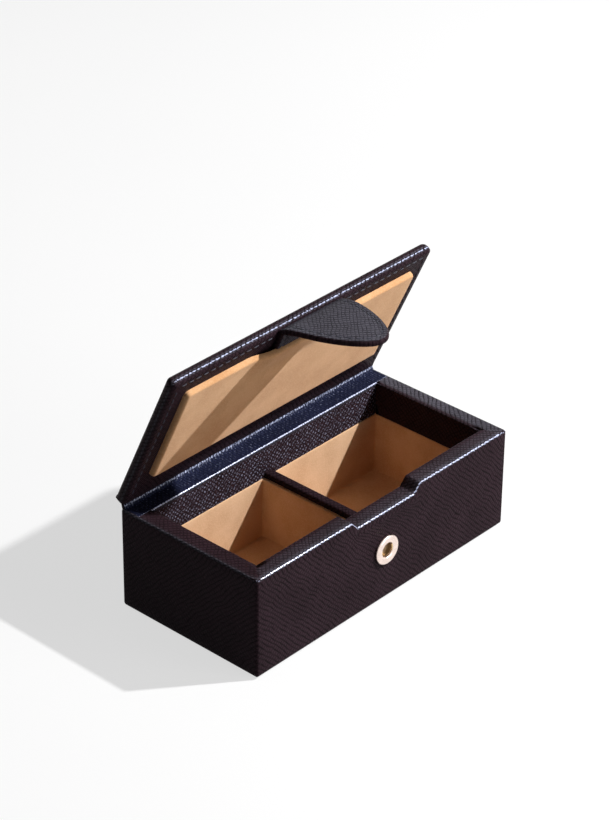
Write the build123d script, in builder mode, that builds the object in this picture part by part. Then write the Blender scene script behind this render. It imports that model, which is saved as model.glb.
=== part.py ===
from build123d import *
import os
from math import atan2, degrees

# Leather cufflink box with a hinged lid, a snap tab and two lined compartments.
#
# Millimetres. X runs along the front, Y from the front to the back, Z up. The
# origin is the centre of the base, on the surface that the box stands on. The
# lid stands open as modelled, and swings down about the leather hinge at the back.

os.makedirs("parts", exist_ok=True)

# ---- Driving dimensions: box body
box_width = 125.0
box_depth = 61.2
rim_height = 38.6
wrap_leather = 0.9
corner_radius = 1.0
rim_edge_radius = 0.8
foot_edge_radius = 1.4
turn_under = 0.6
turn_under_width = 8.0
base_sheet_thickness = 0.4
base_sheet_inset = 2.0
base_board_thickness = 1.0
wall_board = 5.0
back_wall_board = 6.1
facing_leather = 0.9

# ---- Driving dimensions: compartments
tray_edge_height = 26.0
tray_card = 0.8
tray_floor_card = 0.4
tray_suede = 0.4
divider_board_thickness = 1.9
divider_top = 28.0

# ---- Driving dimensions: notch in the front rim, which the tab passes through
notch_top_width = 34.4
notch_bottom_width = 28.2
notch_depth = 3.1
notch_fillet = 1.2

# ---- Driving dimensions: snap fastener
snap_below_rim = 18.3
socket_diameter = 10.8
socket_bore = 5.4
socket_proud = 1.2
socket_edge_radius = 0.8
socket_lip_radius = 0.3
spring_wire = 0.4
spring_spread = 5.1
spring_length = 6.8
spring_slot_clearance = 0.05
eyelet_wall = 0.3
eyelet_flange_diameter = 9.4
eyelet_flange_thickness = 0.4
eyelet_pocket_clearance = 0.2
stud_flange_diameter = 8.0
stud_flange_thickness = 0.4
stud_neck_diameter = 3.4
stud_neck_length = 0.7
stud_head_diameter = 4.3
stud_head_length = 1.2
stud_head_rounding = 0.55
rivet_head_diameter = 8.0
rivet_head_thickness = 0.5
rivet_shank_diameter = 1.6
rivet_shank_depth = 0.6
snap_face_clearance = 0.25

# ---- Driving dimensions: lid and its hinge
lid_gap = 0.35
lid_thickness = 4.4
lid_corner_radius = 2.0
lid_top_edge_radius = 2.2
lid_under_edge_radius = 1.4
lid_board_corner_radius = 1.5
lid_border_leather = 0.9
panel_side_margin = 7.3
panel_front_margin = 7.3
panel_hinge_margin = 11.4
panel_pad_thickness = 1.5
panel_suede = 0.4
panel_corner_radius = 1.8
panel_edge_radius = 1.0
panel_lap = 3.0
hinge_behind_back = 0.5
hinge_above_rim = 1.7
hinge_riser_width = 0.8
spine_start_below_rim = 0.6
spine_glue_height = 0.9
open_angle = 65.9

# ---- Driving dimensions: closing tab
tab_width = 29.6
tab_length = 30.1
tab_side_roundness = 0.39
tab_tip_roundness = 0.505
tab_outer_leather_thickness = 0.8
tab_stiffener_thickness = 0.6
tab_lining_thickness = 0.8
tab_stiffener_margin = 1.2
tab_fold_length = 8.9
tab_root_below_lid = 2.7
tab_tongue_length = 6.0
tab_tongue_thickness = 0.8
tab_pivot_out = 0.4
tab_pivot_down = 4.4
tab_rest_angle = 27.1

# ---- Driving dimensions: thread
stitch_length = 2.4
stitch_pitch = 3.3
stitch_width = 0.5
stitch_proud = 0.15
lid_stitch_inset = 2.6
lid_stitch_tab_gap = 1.6
tab_stitch_inset = 2.6

# ---- Places that follow from them
half_width = box_width / 2
half_depth = box_depth / 2
board_half_width = half_width - wrap_leather
board_half_depth = half_depth - wrap_leather
base_board_bottom = base_sheet_thickness + turn_under
base_board_top = base_board_bottom + base_board_thickness
board_top = rim_height - wrap_leather
snap_height = rim_height - snap_below_rim
cavity_half_width = board_half_width - wall_board
cavity_front = wall_board - board_half_depth
cavity_back = board_half_depth - back_wall_board
opening_half_width = cavity_half_width - facing_leather
opening_front = cavity_front + facing_leather
opening_back = cavity_back - facing_leather
divider_half = divider_board_thickness / 2 + wrap_leather
tray_wall = tray_card + tray_suede
tray_floor = base_board_top + tray_floor_card + tray_suede
spine_start = rim_height - spine_start_below_rim

lid_under = rim_height + lid_gap
lid_board_under = lid_border_leather
lid_board_over = lid_thickness - wrap_leather
hinge_y = half_depth + hinge_behind_back
hinge_z = rim_height + hinge_above_rim
panel_half_width = half_width - panel_side_margin
panel_front = panel_front_margin - half_depth
panel_back = half_depth - panel_hinge_margin
panel_depth = panel_pad_thickness + panel_suede

tab_half_width = tab_width / 2
tab_thickness = tab_outer_leather_thickness + tab_stiffener_thickness + tab_lining_thickness
tab_face_y = -half_depth - socket_proud - stud_flange_thickness - snap_face_clearance - tab_thickness
tab_root_z = lid_under - tab_root_below_lid
tab_snap_drop = snap_height - tab_root_z
tab_pivot_y = -half_depth - tab_pivot_out
tab_pivot_z = lid_under - tab_pivot_down

# ---- Frames of the lid and the tab. Each is a place in the closed box, swung to where it stands
lid_swing = Location((0, hinge_y, hinge_z), (-open_angle, 0, 0)) * Location((0, -hinge_y, -hinge_z))
tab_turn = Location((0, tab_pivot_y, tab_pivot_z), (-tab_rest_angle, 0, 0))
tab_swing = lid_swing * tab_turn * Location((0, -tab_pivot_y, -tab_pivot_z))
lid_frame = Plane(lid_swing * Location((0, 0, lid_under)))
tab_frame = Plane(tab_swing * Location((0, tab_face_y, tab_root_z), (90, 0, 0)))
front_frame = Plane(origin=(0, -half_depth, 0), x_dir=(1, 0, 0), z_dir=(0, -1, 0))
snap_section = Plane(origin=(0, -half_depth, snap_height), x_dir=(1, 0, 0), z_dir=(0, 0, -1))
snap_axis = Axis((0, -half_depth, snap_height), (0, -1, 0))
tab_snap_centre = tab_frame.from_local_coords((0, tab_snap_drop, 0))
stud_section = Plane(origin=tab_snap_centre, x_dir=(1, 0, 0), z_dir=-tab_frame.y_dir)
stud_axis = Axis(tab_snap_centre, tab_frame.z_dir)


def block(x_range, y_range, z_range, mode=Mode.ADD, frame=Plane.XY):
    """A straight-sided block between two corners, in the box's own frame or another."""
    low, high = zip(x_range, y_range, z_range)
    centre = tuple((a + b) / 2 for a, b in zip(low, high))
    size = [b - a for a, b in zip(low, high)]
    with Locations(frame.location * Location(centre)):
        Box(*size, mode=mode)


def lid_block(x_range, y_range, z_range, mode=Mode.ADD):
    """A block in the lid's frame: Z is out from the lid's underside."""
    block(x_range, y_range, z_range, mode, lid_frame)


def across(half):
    """The range from minus half to half."""
    return (-half, half)


def side_point(frame, along, out):
    """A point of the YZ section, from the middle of a swung frame."""
    point = frame.from_local_coords((0, along, out))
    return (point.Y, point.Z)


def notch_outline(leather):
    """The notch's outline seen from the front, widened by a thickness of leather."""
    run = (notch_top_width - notch_bottom_width) / 2
    top = notch_top_width / 2 + run
    bottom = notch_bottom_width / 2
    floor = rim_height - notch_depth
    with BuildSketch(front_frame) as outline:
        with BuildLine():
            Polyline((-top, floor + 2 * notch_depth), (-bottom, floor), (bottom, floor),
                     (top, floor + 2 * notch_depth), close=True)
        make_face()
        fillet(outline.vertices().group_by(Axis.Z)[0], notch_fillet)
        if leather:
            offset(amount=leather, kind=Kind.ARC)
    return outline.sketch


def tab_outline(inset, top, plane=tab_frame):
    """The half-moon outline of the tab below a straight top edge."""
    width = tab_half_width - inset
    length = tab_length - inset
    with BuildSketch(plane) as outline:
        with BuildLine():
            tip = (0, -length)
            side_pull = -tab_side_roundness * length
            tip_pull = tab_tip_roundness * width
            Bezier((width, 0), (width, side_pull), (tip_pull, -length), tip)
            Bezier(tip, (-tip_pull, -length), (-width, side_pull), (-width, 0))
            Polyline((-width, 0), (-width, tab_length), (width, tab_length), (width, 0))
        make_face()
        with Locations((0, top + tab_length)):
            Rectangle(2 * tab_width, 2 * tab_length, mode=Mode.SUBTRACT)
    return outline.sketch


# ---- Base
with BuildPart() as base_sheet:
    block(
        across(half_width - base_sheet_inset), across(half_depth - base_sheet_inset),
        (0, base_sheet_thickness),
    )
base_sheet.part.label = "base_sheet"
export_step(base_sheet.part, "parts/base_sheet.step")

with BuildPart() as base_board:
    block(across(board_half_width), across(board_half_depth), (base_board_bottom, base_board_top))
base_board.part.label = "base_board"
export_step(base_board.part, "parts/base_board.step")

# ---- Wall boards
board_rise = (base_board_top, board_top)
front_wall = (-board_half_depth, cavity_front)
with BuildPart() as front_board:
    block(across(cavity_half_width), front_wall, board_rise)
    extrude(notch_outline(wrap_leather), amount=-2 * wall_board, mode=Mode.SUBTRACT)
    with Locations(Plane(origin=(0, -board_half_depth, snap_height), z_dir=(0, 1, 0))):
        Cylinder(
            eyelet_flange_diameter / 2 + eyelet_pocket_clearance,
            eyelet_flange_thickness + eyelet_pocket_clearance,
            align=(Align.CENTER, Align.CENTER, Align.MIN),
            mode=Mode.SUBTRACT,
        )
front_board.part.label = "front_board"
export_step(front_board.part, "parts/front_board.step")

with BuildPart() as back_board:
    block(across(cavity_half_width), (cavity_back, board_half_depth), board_rise)
back_board.part.label = "back_board"
export_step(back_board.part, "parts/back_board.step")

with BuildPart() as left_board:
    block((-board_half_width, -cavity_half_width), across(board_half_depth), board_rise)
left_board.part.label = "left_board"
export_step(left_board.part, "parts/left_board.step")

with BuildPart() as right_board:
    block((cavity_half_width, board_half_width), across(board_half_depth), board_rise)
right_board.part.label = "right_board"
export_step(right_board.part, "parts/right_board.step")

# ---- Leather outside the walls, over the rim and turned under the base
with BuildPart() as wall_space:
    block(across(board_half_width), across(board_half_depth), (base_board_bottom, board_top))
    extrude(notch_outline(wrap_leather), amount=-(half_depth + opening_front), mode=Mode.SUBTRACT)

with BuildPart() as outer_wrap:
    block(across(half_width), across(half_depth), (base_sheet_thickness, rim_height))
    fillet(outer_wrap.edges().filter_by(Axis.Z), corner_radius)
    fillet(outer_wrap.faces().sort_by(Axis.Z)[-1].edges(), rim_edge_radius)
    fillet(outer_wrap.faces().sort_by(Axis.Z)[0].edges(), foot_edge_radius)
    add(wall_space.part, mode=Mode.SUBTRACT)
    block(
        across(half_width - turn_under_width), across(half_depth - turn_under_width),
        (0, base_board_bottom), mode=Mode.SUBTRACT,
    )
    above_base = (base_board_top, 2 * rim_height)
    above_spine = (spine_start, 2 * rim_height)
    block(across(opening_half_width), (opening_front, opening_back), above_base, mode=Mode.SUBTRACT)
    block(across(board_half_width), (opening_back, board_half_depth), above_base, mode=Mode.SUBTRACT)
    block(across(board_half_width), (board_half_depth, 2 * half_depth), above_spine, mode=Mode.SUBTRACT)
    extrude(notch_outline(0), amount=-(half_depth + opening_front), mode=Mode.SUBTRACT)
    with Locations(Plane(origin=(0, -half_depth, snap_height), z_dir=(0, 1, 0))):
        Cylinder(socket_bore / 2 + eyelet_wall, 2 * wrap_leather, mode=Mode.SUBTRACT)
outer_wrap.part.label = "outer_wrap"
export_step(outer_wrap.part, "parts/outer_wrap.step")

# ---- Leather facing inside the rim, above the trays
with BuildPart() as rim_facing:
    facing_rise = (tray_edge_height, board_top)
    block(across(cavity_half_width), (cavity_front, cavity_back), facing_rise)
    block(across(opening_half_width), (opening_front, opening_back), facing_rise, mode=Mode.SUBTRACT)
    extrude(notch_outline(wrap_leather), amount=-(half_depth + opening_front), mode=Mode.SUBTRACT)
rim_facing.part.label = "rim_facing"
export_step(rim_facing.part, "parts/rim_facing.step")

# ---- Divider: a board with leather over its top and both faces
with BuildPart() as divider_board:
    half = divider_board_thickness / 2
    block(across(half), (cavity_front, cavity_back), (base_board_top, tray_edge_height))
    block(across(half), (opening_front, opening_back), (base_board_top, divider_top - wrap_leather))
divider_board.part.label = "divider_board"
export_step(divider_board.part, "parts/divider_board.step")

with BuildPart() as divider_leather:
    block(across(divider_half), (cavity_front, cavity_back), (base_board_top, tray_edge_height))
    block(across(divider_half), (opening_front, opening_back), (base_board_top, divider_top))
    top_edges = divider_leather.edges().filter_by(Axis.Y).group_by(Axis.Z)[-1]
    fillet(top_edges, rim_edge_radius)
    add(divider_board.part, mode=Mode.SUBTRACT)
divider_leather.part.label = "divider_leather"
export_step(divider_leather.part, "parts/divider_leather.step")

# ---- Trays: a card shell with a suede lining that laps over its edge
for side, place in (("left", -1), ("right", 1)):
    outside = sorted((place * divider_half, place * cavity_half_width))
    inside = (outside[0] + tray_wall, outside[1] - tray_wall)
    card_inside = (outside[0] + tray_card, outside[1] - tray_card)
    with BuildPart() as tray_shell:
        block(outside, (cavity_front, cavity_back), (base_board_top, tray_edge_height - tray_suede))
        block(
            card_inside, (cavity_front + tray_card, cavity_back - tray_card),
            (base_board_top + tray_floor_card, tray_edge_height), mode=Mode.SUBTRACT,
        )
    tray_shell.part.label = f"{side}_tray_card"
    export_step(tray_shell.part, f"parts/{side}_tray_card.step")

    with BuildPart() as tray_lining:
        block(outside, (cavity_front, cavity_back), (base_board_top, tray_edge_height))
        block(
            inside, (cavity_front + tray_wall, cavity_back - tray_wall),
            (tray_floor, tray_edge_height), mode=Mode.SUBTRACT,
        )
        add(tray_shell.part, mode=Mode.SUBTRACT)
    tray_lining.part.label = f"{side}_tray_suede"
    export_step(tray_lining.part, f"parts/{side}_tray_suede.step")

# ---- Snap socket on the front: ring, spring wires and the eyelet that holds it
bore = socket_bore / 2
wire = spring_wire / 2
wire_places = [
    (x, -half_depth - socket_proud / 2, snap_height) for x in across(spring_spread / 2)
]
with BuildPart() as snap_socket:
    with BuildSketch(snap_section) as ring_profile:
        with Locations((bore, 0)):
            Rectangle(socket_diameter / 2 - bore, socket_proud, align=(Align.MIN, Align.MIN))
        for radius, rounding in ((socket_diameter / 2, socket_edge_radius), (bore, socket_lip_radius)):
            corner = snap_section.from_local_coords((radius, socket_proud))
            fillet(ring_profile.vertices().sort_by_distance(corner)[0], rounding)
    revolve(axis=snap_axis)
    with Locations(*wire_places):
        Cylinder(wire + spring_slot_clearance, spring_length + spring_wire, mode=Mode.SUBTRACT)
snap_socket.part.label = "snap_socket"
export_step(snap_socket.part, "parts/snap_socket.step")

with BuildPart() as socket_spring:
    with Locations(*wire_places):
        Cylinder(wire, spring_length)
socket_spring.part.label = "socket_spring"
export_step(socket_spring.part, "parts/socket_spring.step")

with BuildPart() as socket_eyelet:
    with BuildSketch(snap_section):
        with Locations((0, -wrap_leather - eyelet_flange_thickness)):
            Rectangle(eyelet_flange_diameter / 2, eyelet_flange_thickness, align=(Align.MIN, Align.MIN))
        with Locations((bore, -wrap_leather)):
            Rectangle(eyelet_wall, wrap_leather, align=(Align.MIN, Align.MIN))
    revolve(axis=snap_axis)
socket_eyelet.part.label = "socket_eyelet"
export_step(socket_eyelet.part, "parts/socket_eyelet.step")

# ---- Lid: board, outer leather, inner border and stitching
lid_y_axis = Axis(lid_frame.origin, lid_frame.y_dir)
lid_z_axis = Axis(lid_frame.origin, lid_frame.z_dir)
with BuildPart() as lid_form:
    lid_block(across(half_width), across(half_depth), (0, lid_thickness))
    upright = lid_form.edges().filter_by(lid_z_axis).group_by(lid_y_axis)
    fillet(upright[0], lid_corner_radius)
    over = lid_form.faces().sort_by(lid_z_axis)[-1]
    fillet(over.edges().sort_by(lid_y_axis)[:-1], lid_top_edge_radius)
    under = lid_form.faces().sort_by(lid_z_axis)[0]
    fillet(under.edges().sort_by(lid_y_axis)[:-1], lid_under_edge_radius)

with BuildPart() as lid_board:
    lid_block(across(board_half_width), across(board_half_depth), (lid_board_under, lid_board_over))
    fillet(lid_board.edges().filter_by(lid_z_axis), lid_board_corner_radius)
lid_board.part.label = "lid_board"
export_step(lid_board.part, "parts/lid_board.step")

border_space = (across(board_half_width), (-board_half_depth, half_depth), (0, lid_board_under))
with BuildPart() as lid_outer_leather:
    add(lid_form.part)
    add(lid_board.part, mode=Mode.SUBTRACT)
    lid_block(*border_space, mode=Mode.SUBTRACT)
    lid_block(
        across(board_half_width), (board_half_depth, 2 * half_depth),
        (0, lid_board_under + spine_glue_height), mode=Mode.SUBTRACT,
    )
lid_outer_leather.part.label = "lid_outer_leather"
export_step(lid_outer_leather.part, "parts/lid_outer_leather.step")

panel_bed = (
    across(panel_half_width - panel_lap),
    (panel_front + panel_lap, panel_back - panel_lap),
    (0, lid_board_under),
)
with BuildPart() as lid_border:
    add(lid_form.part)
    lid_block(*border_space, mode=Mode.INTERSECT)
    lid_block(*panel_bed, mode=Mode.SUBTRACT)
lid_border.part.label = "lid_border"
export_step(lid_border.part, "parts/lid_border.step")

with BuildPart(lid_frame) as lid_stitching:
    line_x = half_width - lid_stitch_inset
    line_front = lid_stitch_inset - half_depth
    side_count = int((half_depth - lid_stitch_inset - line_front) / stitch_pitch)
    side_stitches = [line_front + (i + 1) * stitch_pitch for i in range(side_count)]
    front_start = tab_half_width + lid_stitch_tab_gap + stitch_length / 2
    front_count = int((line_x - front_start) / stitch_pitch) + 1
    front_stitches = [front_start + i * stitch_pitch for i in range(front_count)]
    with Locations(*[(x, line_front, -stitch_proud / 2) for s in front_stitches for x in (-s, s)]):
        Box(stitch_length, stitch_width, stitch_proud)
    with Locations(*[(x, y, -stitch_proud / 2) for y in side_stitches for x in (-line_x, line_x)]):
        Box(stitch_width, stitch_length, stitch_proud)
lid_stitching.part.label = "lid_stitching"
export_step(lid_stitching.part, "parts/lid_stitching.step")

# ---- Lid panel: a backing card, a thin pad and the suede over it
with BuildPart() as panel_card:
    lid_block(*panel_bed)
panel_card.part.label = "panel_card"
export_step(panel_card.part, "parts/panel_card.step")

tongue = (across(tab_half_width), (panel_front, panel_front + tab_tongue_length), (-tab_tongue_thickness, 0))
with BuildPart() as panel_pad:
    lid_block(
        across(panel_half_width - panel_suede), (panel_front + panel_suede, panel_back - panel_suede),
        (-panel_pad_thickness, 0),
    )
    fillet(panel_pad.edges().filter_by(lid_z_axis), panel_corner_radius - panel_suede)
    lid_block(*tongue, mode=Mode.SUBTRACT)
panel_pad.part.label = "panel_pad"
export_step(panel_pad.part, "parts/panel_pad.step")

with BuildPart() as panel_cover:
    lid_block(across(panel_half_width), (panel_front, panel_back), (-panel_depth, 0))
    fillet(panel_cover.edges().filter_by(lid_z_axis), panel_corner_radius)
    fillet(panel_cover.faces().sort_by(lid_z_axis)[0].edges(), panel_edge_radius)
    add(panel_pad.part, mode=Mode.SUBTRACT)
    lid_block(*tongue, mode=Mode.SUBTRACT)
panel_cover.part.label = "panel_cover"
export_step(panel_cover.part, "parts/panel_cover.step")

# ---- Leather hinge: a strip inside, over the back rim, and the spine outside
rim_back = board_half_depth
lid_heel_in = side_point(lid_frame, half_depth, 0)
lid_heel_out = side_point(lid_frame, half_depth, lid_board_under)
with BuildPart() as hinge_strip:
    with BuildSketch(Plane.YZ):
        with BuildLine():
            Polyline(
                (opening_back, board_top), (rim_back, board_top), (rim_back, rim_height), lid_heel_out,
                lid_heel_in, (rim_back - hinge_riser_width, rim_height), (opening_back, rim_height),
                close=True,
            )
        make_face()
    extrude(amount=board_half_width, both=True)
hinge_strip.part.label = "hinge_strip"
export_step(hinge_strip.part, "parts/hinge_strip.step")

spine_lid_in = side_point(lid_frame, board_half_depth, lid_board_under)
spine_lid_top = side_point(lid_frame, board_half_depth, lid_board_under + spine_glue_height)
spine_lid_out = side_point(lid_frame, half_depth, lid_board_under + spine_glue_height)
with BuildPart() as hinge_spine:
    with BuildSketch(Plane.YZ):
        with BuildLine():
            Polyline(
                (board_half_depth, spine_start), (half_depth, spine_start), spine_lid_out, spine_lid_top,
                spine_lid_in, lid_heel_out, (rim_back, rim_height), close=True,
            )
        make_face()
    extrude(amount=board_half_width, both=True)
hinge_spine.part.label = "hinge_spine"
export_step(hinge_spine.part, "parts/hinge_spine.step")

# ---- Closing tab: strap under the lid, fold, two leathers with a stiffener between, stitching
with BuildPart() as tab_strap:
    lid_block(across(tab_half_width), (-half_depth, panel_front), (-tab_thickness, 0))
    lid_block(*tongue)
tab_strap.part.label = "tab_strap"
export_step(tab_strap.part, "parts/tab_strap.step")

fold_end_out = side_point(tab_frame, -tab_fold_length, 0)
fold_end_in = side_point(tab_frame, -tab_fold_length, -tab_thickness)
with BuildPart() as tab_fold:
    with BuildSketch(Plane.YZ):
        with BuildLine():
            Polyline(
                side_point(lid_frame, -half_depth, 0), side_point(tab_frame, 0, 0), fold_end_out,
                fold_end_in, side_point(lid_frame, -half_depth, -tab_thickness), close=True,
            )
        make_face()
    extrude(amount=tab_half_width, both=True)
    extrude(tab_outline(0, tab_length), amount=tab_length, both=True, mode=Mode.INTERSECT)
tab_fold.part.label = "tab_fold"
export_step(tab_fold.part, "parts/tab_fold.step")

stiffener_top = -tab_outer_leather_thickness
stiffener_under = stiffener_top - tab_stiffener_thickness
with BuildPart(tab_frame) as tab_stiffener:
    extrude(
        tab_outline(tab_stiffener_margin, -tab_fold_length, tab_frame.offset(stiffener_top)),
        amount=-tab_stiffener_thickness,
    )
    with Locations((0, tab_snap_drop, stiffener_top)):
        Cylinder(rivet_head_diameter / 2, 2 * tab_stiffener_thickness, mode=Mode.SUBTRACT)
tab_stiffener.part.label = "tab_stiffener"
export_step(tab_stiffener.part, "parts/tab_stiffener.step")

with BuildPart(tab_frame) as tab_outer_leather:
    extrude(tab_outline(0, -tab_fold_length), amount=stiffener_under)
    extrude(
        tab_outline(tab_stiffener_margin, -tab_fold_length, tab_frame.offset(stiffener_top)),
        amount=-tab_stiffener_thickness, mode=Mode.SUBTRACT,
    )
tab_outer_leather.part.label = "tab_outer_leather"
export_step(tab_outer_leather.part, "parts/tab_outer_leather.step")

with BuildPart(tab_frame) as tab_lining:
    lining_outline = tab_outline(0, -tab_fold_length, tab_frame.offset(stiffener_under))
    extrude(lining_outline, amount=-tab_lining_thickness)
    with Locations((0, tab_snap_drop, stiffener_under)):
        Cylinder(rivet_shank_diameter / 2, 3 * tab_lining_thickness, mode=Mode.SUBTRACT)
tab_lining.part.label = "tab_lining"
export_step(tab_lining.part, "parts/tab_lining.step")

stitch_side = tab_half_width - tab_stitch_inset
stitch_reach = tab_length - tab_stitch_inset
with BuildLine(Plane.XY) as stitch_line:
    Bezier(
        (stitch_side, 0), (stitch_side, -tab_side_roundness * stitch_reach),
        (tab_tip_roundness * stitch_side, -stitch_reach), (0, -stitch_reach),
    )
stitch_curve = stitch_line.edges()[0]
tab_stitch_steps = int(stitch_curve.length / stitch_pitch)
with BuildPart(tab_frame) as tab_stitching:
    for i in range(tab_stitch_steps):
        place = stitch_curve @ (1 - (i + 0.5) * stitch_pitch / stitch_curve.length)
        along = stitch_curve % (1 - (i + 0.5) * stitch_pitch / stitch_curve.length)
        turn = degrees(atan2(along.Y, along.X))
        if place.Y < -tab_fold_length - stitch_length:
            with Locations(Location((place.X, place.Y, stitch_proud / 2), (0, 0, turn))):
                Box(stitch_length, stitch_width, stitch_proud)
            with Locations(Location((-place.X, place.Y, stitch_proud / 2), (0, 0, -turn))):
                Box(stitch_length, stitch_width, stitch_proud)
tab_stitching.part.label = "tab_stitching"
export_step(tab_stitching.part, "parts/tab_stitching.step")

# ---- Snap stud on the tab's lining, and the rivet that holds it from inside the tab
stud_base = -tab_thickness
stud_top = stud_base - stud_flange_thickness
head_start = stud_top - stud_neck_length
head_end = head_start - stud_head_length
shank = rivet_shank_diameter / 2
shank_end = stud_top - rivet_shank_depth
with BuildPart() as stud_rivet:
    with BuildSketch(stud_section):
        with Locations((0, stiffener_top)):
            Rectangle(rivet_head_diameter / 2, rivet_head_thickness, align=(Align.MIN, Align.MAX))
            Rectangle(shank, stiffener_top - shank_end, align=(Align.MIN, Align.MAX))
    revolve(axis=stud_axis)
stud_rivet.part.label = "stud_rivet"
export_step(stud_rivet.part, "parts/stud_rivet.step")

with BuildPart() as snap_stud:
    with BuildSketch(stud_section) as stud_profile:
        with Locations((0, stud_base)):
            Rectangle(stud_flange_diameter / 2, stud_flange_thickness, align=(Align.MIN, Align.MAX))
        with Locations((0, stud_top)):
            Rectangle(stud_neck_diameter / 2, stud_neck_length, align=(Align.MIN, Align.MAX))
        with Locations((0, head_start)):
            Rectangle(stud_head_diameter / 2, stud_head_length, align=(Align.MIN, Align.MAX))
        for end in (head_start, head_end):
            corner = stud_section.from_local_coords((stud_head_diameter / 2, end))
            fillet(stud_profile.vertices().sort_by_distance(corner)[0], stud_head_rounding)
        with Locations((0, stud_base)):
            Rectangle(shank, stud_base - shank_end, align=(Align.MIN, Align.MAX), mode=Mode.SUBTRACT)
    revolve(axis=stud_axis)
snap_stud.part.label = "snap_stud"
export_step(snap_stud.part, "parts/snap_stud.step")

tab_pivot = lid_swing * Location((0, tab_pivot_y, tab_pivot_z))
print("lid hinge, y and z:", hinge_y, hinge_z)
print("tab fold, y and z:", tab_pivot.position.Y, tab_pivot.position.Z)
print("compartment floor:", tray_floor, " lid's underside when closed:", lid_under)
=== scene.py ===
"""Leather cufflink box with a hinged lid and a snap tab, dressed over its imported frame.

The pieces are drawn in millimetres, in the same axes as the frame: X along the front, Y to the back, Z up.
mesh_piece() turns them into metres. The lid's pieces are drawn as they lie with the lid shut and swung open
with LID, and the tab's are drawn flat and laid along the tab's bend.
"""
import math

import bmesh
import bpy
from mathutils import Matrix, Vector

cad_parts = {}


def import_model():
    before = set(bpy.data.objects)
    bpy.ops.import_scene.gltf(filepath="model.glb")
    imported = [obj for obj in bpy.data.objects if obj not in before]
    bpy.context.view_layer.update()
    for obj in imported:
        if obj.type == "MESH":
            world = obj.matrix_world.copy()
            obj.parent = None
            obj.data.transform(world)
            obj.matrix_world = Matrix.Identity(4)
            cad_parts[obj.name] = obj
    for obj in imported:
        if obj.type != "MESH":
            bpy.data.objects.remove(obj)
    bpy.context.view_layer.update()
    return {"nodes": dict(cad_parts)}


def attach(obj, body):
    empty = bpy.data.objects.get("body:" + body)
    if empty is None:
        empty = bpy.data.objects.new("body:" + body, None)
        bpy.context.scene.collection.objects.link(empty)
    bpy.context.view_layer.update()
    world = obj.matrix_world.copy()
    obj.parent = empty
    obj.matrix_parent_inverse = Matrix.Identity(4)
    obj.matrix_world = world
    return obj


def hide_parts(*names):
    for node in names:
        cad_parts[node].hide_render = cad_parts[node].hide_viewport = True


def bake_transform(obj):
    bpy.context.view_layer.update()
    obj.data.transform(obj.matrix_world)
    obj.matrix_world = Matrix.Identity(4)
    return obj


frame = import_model()

MM = 0.001

# ---- Sizes of the real box, in millimetres
BOX_WIDTH = 125.0
BOX_DEPTH = 61.2
RIM_HEIGHT = 38.6
LEATHER = 0.9
SHEET = 0.4
SIDE_RIM = 6.8
BACK_RIM = 7.9
CORNER_RADIUS = 1.0
RIM_EDGE = 0.8
FOOT_EDGE = 1.4
TURN_UNDER = 8.0
INNER_EDGE = 0.5
TRAY_EDGE = 26.0
TRAY_FLOOR = 2.8
TRAY_WALL = 1.2
DIVIDER_HALF = 1.85
DIVIDER_TOP = 28.0
NOTCH_TOP = 34.4
NOTCH_BOTTOM = 28.2
NOTCH_DEPTH = 3.1
SNAP_HEIGHT = 20.3
SNAP_HOLE = 3.0
SOCKET_RADIUS = 5.4
SOCKET_BORE = 2.7
SOCKET_PROUD = 1.2
LID_UNDER = 38.95
LID_THICKNESS = 4.4
LID_CORNER = 2.0
LID_TOP_EDGE = 2.28
LID_UNDER_EDGE = 1.4
LID_HEEL_TOP_EDGE = 0.9
LID_HEEL_UNDER_EDGE = 0.3
PANEL_SIDE = 7.3
PANEL_FRONT = 7.3
PANEL_HINGE = 11.4
PANEL_PROUD = 1.9
PANEL_CORNER = 1.8
PANEL_EDGE = 1.0
HINGE_Y = 31.1
HINGE_Z = 40.3
OPEN_ANGLE = 65.9
TAB_WIDTH = 29.6
TAB_LENGTH = 30.1
TAB_SIDE_ROUNDNESS = 0.39
TAB_TIP_ROUNDNESS = 0.505
TAB_THICKNESS = 2.2
TAB_FACE_Y = -34.65
TAB_ROOT_BELOW = 2.7
TAB_PIVOT_OUT = 0.4
TAB_PIVOT_DOWN = 4.4
TAB_REST_ANGLE = 27.1
TAB_FOLD = 8.9
STITCH_LENGTH = 2.4
STITCH_PITCH = 3.3
STITCH_RADIUS = 0.24
LID_STITCH_INSET = 2.6
TAB_STITCH_INSET = 2.6

HALF_WIDTH = BOX_WIDTH / 2
HALF_DEPTH = BOX_DEPTH / 2
TAB_HALF = TAB_WIDTH / 2


def turn_x(degrees):
    return Matrix.Rotation(math.radians(degrees), 4, "X")


def shift(x, y, z):
    return Matrix.Translation((x, y, z))


HINGE = shift(0, HINGE_Y, HINGE_Z)
LID = HINGE @ turn_x(-OPEN_ANGLE) @ HINGE.inverted() @ shift(0, 0, LID_UNDER)
TAB_PIVOT = shift(0, -HALF_DEPTH - TAB_PIVOT_OUT, -TAB_PIVOT_DOWN)
TAB = LID @ TAB_PIVOT @ turn_x(-TAB_REST_ANGLE) @ TAB_PIVOT.inverted() @ shift(0, TAB_FACE_Y, -TAB_ROOT_BELOW)


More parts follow.
